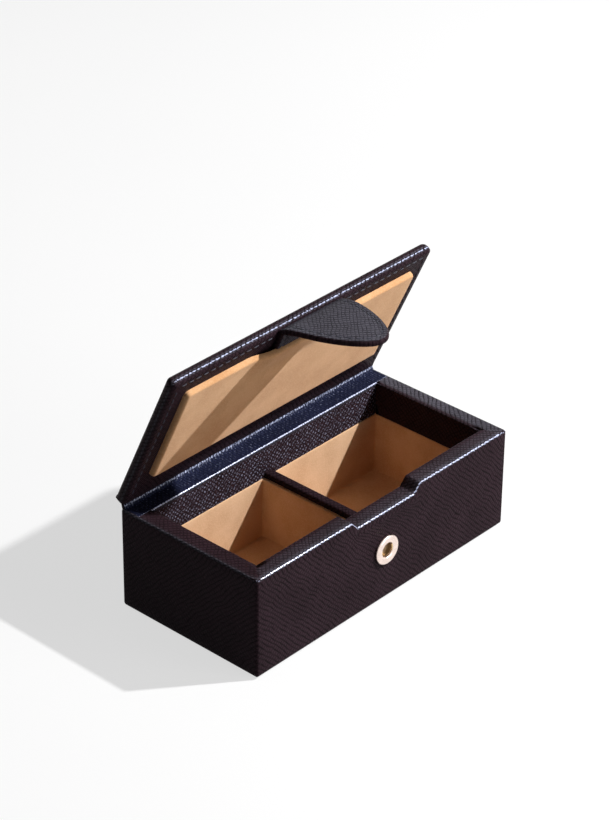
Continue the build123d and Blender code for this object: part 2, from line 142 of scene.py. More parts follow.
# ---- Materials
class Nodes:
    """A node tree under construction: add() makes a node and links what it is given."""

    def __init__(self, name):
        self.material = bpy.data.materials.new(name)
        self.material.use_nodes = True
        self.tree = self.material.node_tree
        self.shader = self.tree.nodes["Principled BSDF"]

    def add(self, kind, settings=None, **inputs):
        node = self.tree.nodes.new(kind)
        for key, value in (settings or {}).items():
            setattr(node, key, value)
        for key, value in inputs.items():
            name = key.replace("_", " ")
            socket = node.inputs[int(key[1:])] if key[0] == "i" and key[1:].isdigit() else node.inputs[name]
            self.give(socket, value)
        return node

    def give(self, socket, value):
        if isinstance(value, bpy.types.NodeSocket):
            self.tree.links.new(value, socket)
        else:
            socket.default_value = value

    def millimetres(self):
        """Places on the part, in millimetres."""
        metres = self.add("ShaderNodeTexCoord").outputs["Object"]
        return self.add("ShaderNodeVectorMath", {"operation": "SCALE"}, i0=metres, Scale=1 / MM).outputs[0]

    def math(self, operation, *values):
        node = self.tree.nodes.new("ShaderNodeMath")
        node.operation = operation
        for socket, value in zip(node.inputs, values):
            self.give(socket, value)
        return node.outputs[0]

    def blend(self, factor, low, high):
        """A colour between two others."""
        node = self.tree.nodes.new("ShaderNodeMix")
        node.data_type = "RGBA"
        self.give(node.inputs["Factor"], factor)
        self.give(node.inputs["A"], low)
        self.give(node.inputs["B"], high)
        return node.outputs["Result"]

    def noise(self, vector, scale, detail=3.0, roughness=0.5):
        node = self.add("ShaderNodeTexNoise", Vector=vector, Scale=scale, Detail=detail, Roughness=roughness)
        return node.outputs["Fac"]

    def remap(self, value, low, high, to_low=0.0, to_high=1.0):
        """A smooth step of the value between low and high, scaled to run from to_low to to_high."""
        node = self.tree.nodes.new("ShaderNodeMapRange")
        node.interpolation_type = "SMOOTHSTEP"
        self.give(node.inputs["Value"], value)
        for name, number in (("From Min", low), ("From Max", high), ("To Min", to_low), ("To Max", to_high)):
            node.inputs[name].default_value = number
        return node.outputs["Result"]

    def bump(self, height, strength, distance):
        node = self.add("ShaderNodeBump", Height=height, Strength=strength, Distance=distance)
        self.tree.links.new(node.outputs["Normal"], self.shader.inputs["Normal"])

    def shade(self, **inputs):
        for key, value in inputs.items():
            self.give(self.shader.inputs[key.replace("_", " ")], value)


def rgb(red, green, blue):
    """A colour from the 0 to 255 values that it shows as."""
    linear = [((c / 255 + 0.055) / 1.055) ** 2.4 if c > 10 else c / 255 / 12.92 for c in (red, green, blue)]
    return (*linear, 1.0)


GRAIN_UV = "grain"
# Painted light: this point attribute paints a cool sheen up to 0.3, and above that ragged highlights and
# glints, in the two colours below.
PAINTED_LIGHT = "wear"
PAINTED_HIGHLIGHT_COLOUR = rgb(196, 204, 236)
PAINTED_SHEEN_COLOUR = rgb(92, 90, 100)
# Each set of ridges in the grain: its slant, its pitch in millimetres, how narrow its grooves are, how deep
# they are at their shallowest and deepest, and the seed of their unevenness.
GRAIN_SETS = (
    {"slant": 1.0, "pitch": 1.22, "narrow": 1.25, "shallow": 0.4, "deep": 0.8, "seed": 0.0},
    {"slant": -1.0, "pitch": 1.42, "narrow": 1.1, "shallow": 0.5, "deep": 1.0, "seed": 40.0},
)
GRAIN_WANDER = 2.6
GRAIN_DEPTH = 0.14
RIB_PITCH = 1.15


def crosshatched_leather(name, dark, light, sheen_tint, uv=True, ribs=0.0):
    """Printed leather: two sets of fine ridges at 45 degrees with a soft gloss.

    A point attribute of up to 0.3 paints a paler, cool sheen on the face, and more of it paints a ragged,
    shiny highlight. ribs adds creases across a bend.
    """
    n = Nodes(name)
    if uv:
        place = n.add("ShaderNodeUVMap", {"uv_map": GRAIN_UV}).outputs["UV"]
    else:
        place = n.millimetres()
    wander = n.add("ShaderNodeTexNoise", Vector=place, Scale=0.14, Detail=2.5)
    bend = n.add("ShaderNodeVectorMath", {"operation": "SCALE"},
                 i0=wander.outputs["Color"], Scale=GRAIN_WANDER)
    moved = n.add("ShaderNodeVectorMath", {"operation": "ADD"}, i0=place, i1=bend.outputs[0])
    parts = n.add("ShaderNodeSeparateXYZ", Vector=moved.outputs[0])
    u, v = parts.outputs["X"], parts.outputs["Y"]
    grooves = []
    for ridge_set in GRAIN_SETS:
        across = n.math("ADD", u, n.math("MULTIPLY", v, ridge_set["slant"]))
        along = n.math("SUBTRACT", u, n.math("MULTIPLY", v, ridge_set["slant"]))
        turns = n.math("MULTIPLY", across, math.pi / (ridge_set["pitch"] * math.sqrt(2)))
        wave = n.math("ABSOLUTE", n.math("SINE", turns))
        streak = n.add("ShaderNodeCombineXYZ", X=n.math("MULTIPLY", across, 0.8),
                       Y=n.math("MULTIPLY", along, 0.2), Z=ridge_set["seed"])
        streaks = n.noise(streak.outputs[0], 1.0, detail=2.0)
        depth = n.remap(streaks, 0.36, 0.62, ridge_set["shallow"], ridge_set["deep"])
        flank = n.math("MINIMUM", n.math("MULTIPLY", wave, ridge_set["narrow"]), 1.0)
        grooves.append(n.math("MULTIPLY", n.math("SUBTRACT", 1.0, flank), depth))
    groove = n.math("MAXIMUM", *grooves)
    fine = n.noise(place, 4.0, detail=3.0)
    if ribs:
        crease = n.math("ABSOLUTE", n.math("SINE", n.math("MULTIPLY", u, math.pi / RIB_PITCH)))
        crease = n.math("SUBTRACT", 1.0, n.math("MINIMUM", n.math("MULTIPLY", crease, 1.6), 1.0))
        crease = n.math("MULTIPLY", crease, n.remap(fine, 0.3, 0.6, 0.6 * ribs, ribs))
        groove = n.math("MAXIMUM", n.math("MULTIPLY", groove, 0.45), crease)
    ridge = n.math("SUBTRACT", 1.0, groove)
    height = n.math("ADD", ridge, n.math("MULTIPLY", fine, 0.4))
    patch = n.noise(place, 0.06, detail=3.0)
    tone = n.math("MULTIPLY", ridge, n.remap(patch, 0.3, 0.7, 0.7, 1.0))
    tone = n.math("MULTIPLY", tone, n.remap(fine, 0.3, 0.7, 0.7, 1.0))
    # Painted light: the attribute paints a cool sheen into the base colour up to 0.3, and above that ragged
    # pale bluish highlights with a clear coat over them.
    paler = n.add("ShaderNodeAttribute", {"attribute_name": PAINTED_LIGHT}).outputs["Fac"]
    nick = n.noise(place, 1.5, detail=2.0)
    ragged = n.math("ADD", n.math("MULTIPLY", ridge, 0.45), n.math("MULTIPLY", nick, 1.1))
    painted_sheen = n.math("MULTIPLY", n.remap(paler, 0.0, 0.28), n.remap(paler, 0.32, 0.5, 1.0, 0.0))
    paler = n.remap(n.math("MULTIPLY", paler, ragged), 0.55, 0.95)
    unhighlighted = n.blend(tone, dark, n.blend(painted_sheen, light, PAINTED_SHEEN_COLOUR))
    n.shade(Base_Color=n.blend(paler, unhighlighted, PAINTED_HIGHLIGHT_COLOUR))
    n.shade(Roughness=n.remap(paler, 0.0, 1.0, 0.42, 0.2), Coat_Weight=n.math("MULTIPLY", paler, 0.8))
    n.shade(Specular_IOR_Level=0.015, Specular_Tint=sheen_tint, Coat_Roughness=0.18, Coat_IOR=1.6)
    n.bump(height, 0.95, GRAIN_DEPTH * MM)
    return n.material


def suede(name, dark, light, paler):
    """Tan suede: a fine nap, faint cloudy shading and brushed flecks."""
    n = Nodes(name)
    place = n.millimetres()
    cloud = n.noise(place, 0.09, detail=3.0)
    nap = n.noise(place, 1.7, detail=3.0, roughness=0.65)
    fleck = n.noise(place, 4.5, detail=2.0, roughness=0.7)
    base = n.blend(n.remap(cloud, 0.3, 0.7), dark, light)
    tone = n.blend(n.remap(nap, 0.38, 0.72, 0.0, 0.35), base, paler)
    n.shade(Base_Color=tone, Roughness=0.92, Specular_IOR_Level=0.15)
    n.shade(Sheen_Weight=0.25, Sheen_Roughness=0.5, Sheen_Tint=(1.0, 0.86, 0.7, 1.0))
    height = n.math("ADD", n.math("MULTIPLY", nap, 0.7), n.math("MULTIPLY", fleck, 0.5))
    n.bump(height, 0.55, 0.12 * MM)
    return n.material


def metal(name, colour, roughness, scratch):
    """Polished metal, slightly stained and scratched."""
    n = Nodes(name)
    place = n.millimetres()
    stain = n.noise(place, 0.9, detail=4.0)
    dull = tuple(c * 0.9 for c in colour[:3]) + (1.0,)
    n.shade(Base_Color=n.blend(n.remap(stain, 0.35, 0.65), dull, colour), Metallic=1.0)
    n.shade(Roughness=n.remap(stain, 0.3, 0.7, roughness, roughness + 0.12))
    n.bump(n.noise(place, 7.0, detail=2.0), scratch, 0.05 * MM)
    return n.material


def thread(name, dark, light):
    """Waxed thread: two plies, seen as slanting turns."""
    n = Nodes(name)
    place = n.add("ShaderNodeUVMap", {"uv_map": GRAIN_UV}).outputs["UV"]
    parts = n.add("ShaderNodeSeparateXYZ", Vector=place)
    turns = n.math("MULTIPLY", parts.outputs["X"], 9.0)
    twist = n.math("ADD", turns, n.math("MULTIPLY", parts.outputs["Y"], 6.2))
    ply = n.math("ABSOLUTE", n.math("SINE", twist))
    n.shade(Base_Color=n.blend(ply, dark, light), Roughness=0.45, Specular_IOR_Level=0.5)
    n.bump(ply, 0.7, 0.08 * MM)
    return n.material


def board(name, dark, light, scale):
    """Pressed board or foam: mottled, dry."""
    n = Nodes(name)
    place = n.millimetres()
    speck = n.noise(place, scale, detail=4.0, roughness=0.7)
    n.shade(Base_Color=n.blend(n.remap(speck, 0.35, 0.65), dark, light), Roughness=0.9)
    n.bump(speck, 0.4, 0.08 * MM)
    return n.material


LEATHER_TONES = (rgb(16, 11, 12), rgb(56, 41, 48), (0.9, 0.85, 1.0, 1.0))
LEATHER_FINISH = crosshatched_leather("leather_finish", *LEATHER_TONES)
# The hinge leather's pale ridge tone is bluish: painted sheen of the light on its ribs.
HINGE_PAINTED_SHEEN_TONES = (rgb(6, 6, 9), rgb(40, 44, 70), (0.7, 0.8, 1.0, 1.0))
RIBBED_FINISH = crosshatched_leather("leather_hinge_painted_sheen_finish", *HINGE_PAINTED_SHEEN_TONES, ribs=1.0)
LEATHER_CAD = crosshatched_leather("leather_plain_finish", *LEATHER_TONES, uv=False)
SUEDE_FINISH = suede("suede_finish", rgb(196, 156, 120), rgb(210, 172, 136), rgb(230, 198, 164))
PANEL_FINISH = suede("panel_suede_finish", rgb(198, 146, 100), rgb(212, 162, 116), rgb(232, 192, 150))
SNAP_FINISH = metal("snap_finish", rgb(246, 226, 216), 0.22, 0.05)
EYELET_FINISH = metal("eyelet_finish", rgb(150, 128, 100), 0.35, 0.1)
SPRING_FINISH = metal("spring_finish", rgb(226, 200, 150), 0.18, 0.1)
THREAD_FINISH = thread("thread_finish", rgb(5, 5, 10), rgb(34, 36, 56))
BOARD_FINISH = board("greyboard_finish", rgb(120, 112, 100), rgb(158, 150, 138), 2.2)
FOAM_FINISH = board("foam_finish", rgb(216, 214, 206), rgb(238, 236, 230), 4.0)

CAD_FINISHES = {
    LEATHER_CAD: ("base_sheet", "tab_strap", "tab_fold", "outer_wrap", "rim_facing"),
    BOARD_FINISH: (
        "base_board", "front_board", "back_board", "left_board", "right_board", "divider_board",
        "left_tray_card", "right_tray_card", "lid_board", "panel_card", "tab_stiffener",
    ),
    FOAM_FINISH: ("panel_pad",),
    SNAP_FINISH: ("snap_socket", "snap_stud", "stud_rivet"),
    EYELET_FINISH: ("socket_eyelet",),
    SPRING_FINISH: ("socket_spring",),
    SUEDE_FINISH: ("left_tray_suede", "right_tray_suede", "panel_cover"),
}
for finish, names in CAD_FINISHES.items():
    for name in names:
        node = frame["nodes"][name]
        node.data.materials.clear()
        node.data.materials.append(finish)


# ---- Mesh helpers
def mesh_piece(name, points, faces, uvs, wear, finish, place):
    """A piece from points in millimetres, with its faces turned outward.

    uvs gives each face's corners, in millimetres of leather, and the list after it how much painted sheen and
    painted highlight each point gets, from 0 to 1.
    """
    mesh = bpy.data.meshes.new(name)
    mesh.from_pydata([(place @ Vector(p)) * MM for p in points], [], faces)
    layer = mesh.uv_layers.new(name=GRAIN_UV)
    corner = 0
    for face in uvs:
        for uv in face:
            layer.data[corner].uv = uv
            corner += 1
    mesh.attributes.new(PAINTED_LIGHT, "FLOAT", "POINT").data.foreach_set("value", wear)
    work = bmesh.new()
    work.from_mesh(mesh)
    bmesh.ops.recalc_face_normals(work, faces=work.faces)
    work.to_mesh(mesh)
    work.free()
    mesh.materials.append(finish)
    mesh.shade_smooth()
    piece = bpy.data.objects.new(name, mesh)
    bpy.context.scene.collection.objects.link(piece)
    return piece


class Sheets:
    """Points and faces of a piece, laid down one grid at a time."""

    def __init__(self):
        self.points = []
        self.faces = []
        self.uvs = []
        self.wear = []

    def grid(self, rows, uv_rows, loop=False, skip=None, wear=None):
        """Faces between rows of points of equal length; loop closes each row on its start."""
        start = len(self.points)
        width = len(rows[0])
        for r, row in enumerate(rows):
            self.points += row
            self.wear += [wear(r, c) if wear else 0.0 for c in range(width)]
        for r in range(len(rows) - 1):
            for c in range(width if loop else width - 1):
                if skip and skip(r, c):
                    continue
                d = (c + 1) % width
                self.faces.append([start + r * width + c, start + r * width + d,
                                   start + (r + 1) * width + d, start + (r + 1) * width + c])
                self.uvs.append([uv_rows(r, c, r, c), uv_rows(r, c, r, d),
                                 uv_rows(r, c, r + 1, d), uv_rows(r, c, r + 1, c)])

    def cap(self, indices, uv):
        """One face over the points with these indices; uv picks two of a point's three numbers."""
        self.faces.append(list(indices))
        self.uvs.append([tuple(self.points[i][axis] for axis in uv) for i in indices])

    def piece(self, name, finish, place=Matrix.Identity(4)):
        return mesh_piece(name, self.points, self.faces, self.uvs, self.wear, finish, place)


def steps(start, end, count):
    return [start + (end - start) * i / count for i in range(count + 1)]


def travel(points):
    """The length travelled from the first point to each point."""
    lengths = [0.0]
    for a, b in zip(points, points[1:]):
        lengths.append(lengths[-1] + math.dist(a, b))
    return lengths


def smoothstep(x):
    x = min(max(x, 0.0), 1.0)
    return x * x * (3 - 2 * x)


# ---- Body leather: over the rim, down the outside and turned under, and down inside to the trays
WALL_HEIGHTS = (
    35.5, 32.0, 27.0, SNAP_HEIGHT + SNAP_HOLE, SNAP_HEIGHT, SNAP_HEIGHT - SNAP_HOLE, 13.0, 8.0, 4.0,
)
SKIN_BELOW_TRAY = 0.3
# How near a side's points come to its corner's, and the smallest radius that a corner's points turn on.
CORNER_GAP = 0.1
LEAST_RADIUS = 0.12
# The rows that wall_profile() lays down, by what they run over.
INNER_EDGE_ROWS = range(4, 10)
RIM_TOP_ROWS = range(10, 13)
OUTER_EDGE_ROWS = range(12, 18)
OUTER_WALL_ROW = 18
SPINE_BOTTOM = RIM_HEIGHT - RIM_EDGE
STRIP_LAP = 0.06
# How much of the notch's slope is a curve, and where the rows under the rim dip: by half below NOTCH_FADE
# under the rim, and not at all from NOTCH_FOOT down.
NOTCH_CURVE = 0.35
NOTCH_FADE = 3.2
NOTCH_FOOT = 30.0


def notch_drop(x):
    """How far the rim dips for the tab at a place along the front."""
    run = (NOTCH_TOP - NOTCH_BOTTOM) / 2
    into = (NOTCH_TOP / 2 - abs(x)) / run
    straight = min(max(into, 0.0), 1.0)
    return NOTCH_DEPTH * (smoothstep(into) * NOTCH_CURVE + straight * (1 - NOTCH_CURVE))


def wall_profile(wall):
    """Rows of the wall's skin, as (inset from the outside, height): from the trays over the rim, and down."""
    arc = steps(0, math.pi / 2, 5)
    rows = [(wall, TRAY_EDGE - SKIN_BELOW_TRAY)]
    rows += [(wall, RIM_HEIGHT - rest) for rest in (8.0, 4.0, 1.5)]
    for a in arc:
        rows.append((wall - INNER_EDGE * (1 - math.cos(a)), RIM_HEIGHT - INNER_EDGE * (1 - math.sin(a))))
    rows += [(inset, RIM_HEIGHT) for inset in (wall * 0.66, wall * 0.33)]
    rows += [(RIM_EDGE * (1 - math.sin(a)), RIM_HEIGHT - RIM_EDGE * (1 - math.cos(a))) for a in arc]
    rows += [(0, z) for z in WALL_HEIGHTS]
    rows += [(FOOT_EDGE * (1 - math.cos(a)), SHEET + FOOT_EDGE * (1 - math.sin(a))) for a in arc]
    rows += [(TURN_UNDER, SHEET)]
    return rows


def body_leather():
    side = wall_profile(SIDE_RIM)
    back = wall_profile(BACK_RIM)
    travelled = travel(side)
    top_travel = travelled[OUTER_WALL_ROW]

    # Stations round the box, as (which side or corner, place along the side or angle round the corner). The
    # front's are close together where the notch slopes.
    left_half = [-58, -50, -40, -30, -22, -18.6] + steps(-17.6, -13.6, 12)
    left_half += [-11, -8, -5.5, -SNAP_HOLE, -1.5, 0]
    front_x = left_half + [-x for x in reversed(left_half[:-1])]
    quarter = steps(0, 90, 6)
    sides_y = steps(-26, 26, 8)
    stations = [(kind, value) for kind, values in (
        ("front_left", quarter), ("front", front_x), ("front_right", quarter), ("right", sides_y),
        ("back_right", quarter), ("back", steps(58, -58, 6)), ("back_left", quarter), ("left", sides_y[::-1]),
    ) for value in values]

    corner_start = {"front_left": 180, "front_right": 270, "back_right": 0, "back_left": 90}
    corner_sign = {"front_left": (-1, -1), "front_right": (1, -1), "back_right": (1, 1), "back_left": (-1, 1)}

    def point(station, row):
        kind, value = station
        inset, z = side[row]
        inset_back = back[row][0]
        if kind == "front":
            reach = HALF_WIDTH - inset - CORNER_GAP
            x = min(max(value, -reach), reach)
            drop = notch_drop(x) if z > NOTCH_FOOT else 0.0
            if z < RIM_HEIGHT - NOTCH_FADE:
                drop *= 0.5
            return (x, inset - HALF_DEPTH, z - drop)
        if kind == "back":
            reach = HALF_WIDTH - inset - CORNER_GAP
            return (min(max(value, -reach), reach), HALF_DEPTH - inset_back, z)
        if kind in ("left", "right"):
            low = inset - HALF_DEPTH + CORNER_GAP
            high = HALF_DEPTH - inset_back - CORNER_GAP
            sign = 1 if kind == "right" else -1
            return (sign * (HALF_WIDTH - inset), min(max(value, low), high), z)
        radius = max(CORNER_RADIUS - inset, LEAST_RADIUS)
        sx, sy = corner_sign[kind]
        deep = inset_back if sy > 0 else inset
        centre = (sx * (HALF_WIDTH - inset - radius), sy * (HALF_DEPTH - deep - radius))
        angle = math.radians(corner_start[kind] + value)
        return (centre[0] + radius * math.cos(angle), centre[1] + radius * math.sin(angle), z)

    rows = [[point(s, r) for s in stations] for r in range(len(side))]

    def uv(face_row, face_station, r, c):
        kind, value = stations[face_station]
        x, y, z = rows[r][c]
        turned = value >= 45 if kind in ("front_left", "back_right") else value < 45
        facing_y = kind in ("front", "back") or ("_" in kind and turned)
        along = x if facing_y else y
        drop = RIM_HEIGHT - z if INNER_EDGE_ROWS.start <= r < OUTER_WALL_ROW else 0.0
        return (along, travelled[r] - top_travel + drop)

    def covered(r, c):
        """True for faces behind the snap ring's bore, and for those that the hinge leathers replace."""
        kind, value = stations[c]
        heights = (side[r][1], side[r + 1][1])
        if kind == "front" and -SNAP_HOLE <= value < SNAP_HOLE and r >= OUTER_WALL_ROW:
            return abs(sum(heights) / 2 - SNAP_HEIGHT) < SNAP_HOLE
        insets = (side[r][0], side[r + 1][0])
        return kind == "back" and min(heights) > SPINE_BOTTOM - 0.1 and min(insets) < SIDE_RIM - 0.6

    # Painted light: painted highlights along the rim's rounded edges, strongest on the front that faces the
    # lamp, painted glints on the back's inner wall, and painted sheen on the rim tops of the sides nearest
    # the lamp.
    side_wear = {"front": 1.0, "front_left": 0.7, "front_right": 0.7}
    edge_wear = dict(zip(OUTER_EDGE_ROWS, (0.25, 0.7, 1.0, 0.95, 0.6, 0.0)))
    edge_wear |= dict(zip(INNER_EDGE_ROWS, (0.0, 0.2, 0.4, 0.4, 0.2, 0.0)))
    rim_painted_sheen = {"front": 0.1, "front_right": 0.2, "right": 0.25, "back_right": 0.25}
    inner_wall_wear = 0.62

    def wear(r, c):
        kind = stations[c][0]
        if kind == "back" and r < INNER_EDGE_ROWS.start:
            return inner_wall_wear
        painted_sheen = rim_painted_sheen.get(kind, 0.0) if r in RIM_TOP_ROWS else 0.0
        return max(side_wear.get(kind, 0.3) * edge_wear.get(r, 0.0), painted_sheen)

    sheets = Sheets()
    sheets.grid(rows, uv, loop=True, skip=covered, wear=wear)
    leather = sheets.piece("body_leather", LEATHER_FINISH)
    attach(leather, "root")
    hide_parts("outer_wrap", "rim_facing")


body_leather()


# ---- Divider leather and the suede trays
DIVIDER_CROWN = 0.06
TRAY_CORNER = 0.7
TRAY_FOOT = 0.6
TRAY_GAP = 0.3
LAP_EDGE = 0.35


def divider():
    arc = steps(0, math.pi / 2, 5)
    inner = DIVIDER_HALF - RIM_EDGE
    half = [(inner + RIM_EDGE * math.cos(a), DIVIDER_TOP - RIM_EDGE * (1 - math.sin(a))) for a in arc]
    profile = [(DIVIDER_HALF, TRAY_FLOOR), (DIVIDER_HALF, TRAY_EDGE)] + half
    profile += [(0.0, DIVIDER_TOP + DIVIDER_CROWN)] + [(-x, z) for x, z in reversed(profile)]
    ys = steps(SIDE_RIM - HALF_DEPTH, HALF_DEPTH - BACK_RIM, 24)
    travelled = travel(profile)
    rows = [[(x, y, z) for x, z in profile] for y in ys]
    sheets = Sheets()
    sheets.grid(rows, lambda fr, fc, r, c: (ys[r], travelled[c]))
    leather = sheets.piece("divider_cover", LEATHER_FINISH)
    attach(leather, "root")
    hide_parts("divider_leather")


divider()


def tray(side, place):
    """The suede lining of one compartment: floor, walls and the lap over the tray's edge."""
    x_low, x_high = sorted((place * (DIVIDER_HALF + TRAY_WALL), place * (HALF_WIDTH - SIDE_RIM - TRAY_GAP)))
    y_low = SIDE_RIM - HALF_DEPTH + TRAY_GAP
    y_high = HALF_DEPTH - BACK_RIM - TRAY_GAP
    arc = steps(0, math.pi / 2, 4)
    levels = [(TRAY_WALL, TRAY_EDGE - 0.5), (TRAY_WALL, TRAY_EDGE)]
    levels += [(LAP_EDGE * (1 - math.sin(a)), TRAY_EDGE - LAP_EDGE * (1 - math.cos(a))) for a in arc]
    levels += [(0.0, z) for z in steps(24.0, 5.0, 8)]
    levels += [(-TRAY_FOOT * (1 - math.cos(a)), TRAY_FLOOR + TRAY_FOOT * (1 - math.sin(a))) for a in arc]
    stations = []
    for corner, (cx, cy) in enumerate(((x_low, y_low), (x_high, y_low), (x_high, y_high), (x_low, y_high))):
        sx = 1 if cx == x_low else -1
        sy = 1 if cy == y_low else -1
        centre = (cx + sx * TRAY_CORNER, cy + sy * TRAY_CORNER)
        for angle in steps(180 + 90 * corner, 270 + 90 * corner, 4):
            a = math.radians(angle)
            stations.append((centre[0], centre[1], math.cos(a), math.sin(a)))
        nx, ny = ((x_high, y_low), (x_high, y_high), (x_low, y_high), (x_low, y_low))[corner]
        for t in steps(0, 1, 12)[1:-1]:
            along_x = cx + (nx - cx) * t
            along_y = cy + (ny - cy) * t
            normal = ((0, -1), (1, 0), (0, 1), (-1, 0))[corner]
            stations.append((
                along_x - normal[0] * TRAY_CORNER, along_y - normal[1] * TRAY_CORNER, normal[0], normal[1],
            ))
    rows = []
    for out, z in levels:
        rows.append([(cx + dx * (TRAY_CORNER + out), cy + dy * (TRAY_CORNER + out), z)
                     for cx, cy, dx, dy in stations])
    centre = ((x_low + x_high) / 2, (y_low + y_high) / 2)
    for shrink in (0.75, 0.5, 0.25, 0.04):
        rows.append([(centre[0] + (x - centre[0]) * shrink, centre[1] + (y - centre[1]) * shrink, TRAY_FLOOR)
                     for x, y, z in rows[len(levels) - 1]])
    sheets = Sheets()
    sheets.grid(rows, lambda fr, fc, r, c: (rows[r][c][0] + rows[r][c][1], rows[r][c][2]), loop=True)
    sheets.cap(range(len(sheets.points) - len(stations), len(sheets.points)), (0, 1))
    lining = sheets.piece(f"{side}_compartment_lining", SUEDE_FINISH)
    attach(lining, "root")
    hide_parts(f"{side}_tray_suede")


tray("left", -1)
tray("right", 1)


# ---- Snap: a lathed ring with a rolled lip
def snap_ring():
    arc = steps(0, math.pi / 2, 6)
    foot = 0.15
    rim_round = 0.6
    rim_start = 0.5
    lip = 0.55
    lip_top = SOCKET_PROUD - 0.1
    crown = ((4.3, 0.0625), (3.9, 0.0875))
    profile = [(SOCKET_RADIUS - foot, 0.0), (SOCKET_RADIUS, foot)]
    for a in arc:
        out = rim_start + (SOCKET_PROUD - rim_start) * math.sin(a)
        profile.append((SOCKET_RADIUS - rim_round * (1 - math.cos(a)), out))
    profile += [(radius, SOCKET_PROUD - below) for radius, below in crown]
    profile += [(SOCKET_BORE + lip * (1 - math.sin(a)), lip_top - lip * (1 - math.cos(a))) for a in arc]
    profile += [(SOCKET_BORE, 0.1), (SOCKET_BORE, 0.0)]
    round_turn = steps(0, 2 * math.pi, 64)[:-1]
    rows = [[(r * math.cos(a), r * math.sin(a), out) for a in round_turn] for r, out in profile]
    sheets = Sheets()
    sheets.grid(rows, lambda fr, fc, r, c: (c * 0.5, r * 0.5), loop=True)
    ring = sheets.piece("snap_ring", SNAP_FINISH, shift(0, -HALF_DEPTH, SNAP_HEIGHT) @ turn_x(90))
    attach(ring, "root")
    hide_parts("snap_socket")


snap_ring()


# ---- Lid: outer leather round the board, and the border on the underside
LID_HEEL_CORNER = 0.4
BORDER_LAP = 3.0
LID_CAP_INSET = 8.0


def lid_leather():
    arc = steps(0, math.pi / 2, 6)

    def profile(top, under):
        rows = [(PANEL_SIDE + BORDER_LAP, 0.0), (under + 1.2, 0.0)]
        rows += [(under * (1 - math.sin(a)), under * (1 - math.cos(a))) for a in arc]
        rows += [(top * (1 - math.cos(a)), LID_THICKNESS - top * (1 - math.sin(a))) for a in arc]
        rows += [(LID_CAP_INSET, LID_THICKNESS)]
        return rows

    soft = profile(LID_TOP_EDGE, LID_UNDER_EDGE)
    hard = profile(LID_HEEL_TOP_EDGE, LID_HEEL_UNDER_EDGE)
    travelled = travel(soft)
    # Stations round the lid, as (side, place along it, 0, 0) or ("corner", its x sign, its y sign, angle).
    end_x = HALF_WIDTH - 4
    end_y = HALF_DEPTH - 4
    stations = [("corner", -1, -1, 180 + angle) for angle in steps(0, 90, 8)]
    stations += [("front", x, 0, 0) for x in steps(-end_x, end_x, 24)]
    stations += [("corner", 1, -1, 270 + angle) for angle in steps(0, 90, 8)]
    stations += [("right", y, 0, 0) for y in steps(-end_y, end_y, 12)]
    stations += [("corner", 1, 1, angle) for angle in steps(0, 90, 2)]
    stations += [("back", x, 0, 0) for x in steps(end_x, -end_x, 12)]
    stations += [("corner", -1, 1, 90 + angle) for angle in steps(0, 90, 2)]
    stations += [("left", y, 0, 0) for y in steps(end_y, -end_y, 12)]

    def point(station, r):
        kind, a, b, angle = station
        inset, z = soft[r]
        back_inset, back_z = hard[r]
        if kind == "front":
            reach = HALF_WIDTH - inset - CORNER_GAP
            return (min(max(a, -reach), reach), inset - HALF_DEPTH, z)
        if kind == "back":
            reach = HALF_WIDTH - inset - CORNER_GAP
            return (min(max(a, -reach), reach), HALF_DEPTH - back_inset, back_z)
        if kind in ("left", "right"):
            sign = 1 if kind == "right" else -1
            low = inset - HALF_DEPTH + CORNER_GAP
            high = HALF_DEPTH - back_inset - CORNER_GAP
            return (sign * (HALF_WIDTH - inset), min(max(a, low), high), z)
        wanted = LID_CORNER if b < 0 else LID_HEEL_CORNER
        radius = max(wanted - inset, LEAST_RADIUS)
        deep = back_inset if b > 0 else inset
        centre = (a * (HALF_WIDTH - inset - radius), b * (HALF_DEPTH - deep - radius))
        turn = math.radians(angle)
        height = back_z if b > 0 and math.sin(turn) > 0.75 else z
        return (centre[0] + radius * math.cos(turn), centre[1] + radius * math.sin(turn), height)

    rows = [[point(s, r) for s in stations] for r in range(len(soft))]

    def uv(fr, fc, r, c):
        kind, angle = stations[fc][0], stations[fc][3]
        x, y, _ = rows[r][c]
        turned = abs(math.sin(math.radians(angle))) > 0.7
        facing_y = kind in ("front", "back") or (kind == "corner" and turned)
        return (x if facing_y else y, travelled[r])

    # Painted highlight along the middle of the lid's rounded front edge.
    edge_wear = {7: 0.6, 8: 1.0, 9: 0.2}

    def wear(r, c):
        """The front edge gets a painted highlight, which fades round its corners."""
        kind, _, b, angle = stations[c]
        share = 1.0 if kind == "front" else 0.2
        if kind == "corner" and b < 0:
            share = 0.5 * (1 + math.cos(2 * math.radians(angle + 90)))
        return share * edge_wear.get(r, 0.0)

    sheets = Sheets()
    sheets.grid(rows, uv, loop=True, wear=wear)
    sheets.cap(range(len(sheets.points) - len(stations), len(sheets.points)), (0, 1))
    leather = sheets.piece("lid_leather", LEATHER_FINISH, LID)
    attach(leather, "lid")
    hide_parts("lid_outer_leather", "lid_border")


lid_leather()


# ---- Padded suede panel inside the lid, lifted at the front by the tab's strap
LIFT = 1.7
LIFT_SPREAD = 11.5
LIFT_LENGTH = 11.0


def rounded_inset(x, y, half_x, half_y, corner):
    """How far a point is inside a rounded rectangle."""
    qx = abs(x) - (half_x - corner)
    qy = abs(y) - (half_y - corner)
    outside = math.hypot(max(qx, 0.0), max(qy, 0.0)) + min(max(qx, qy), 0.0)
    return corner - outside


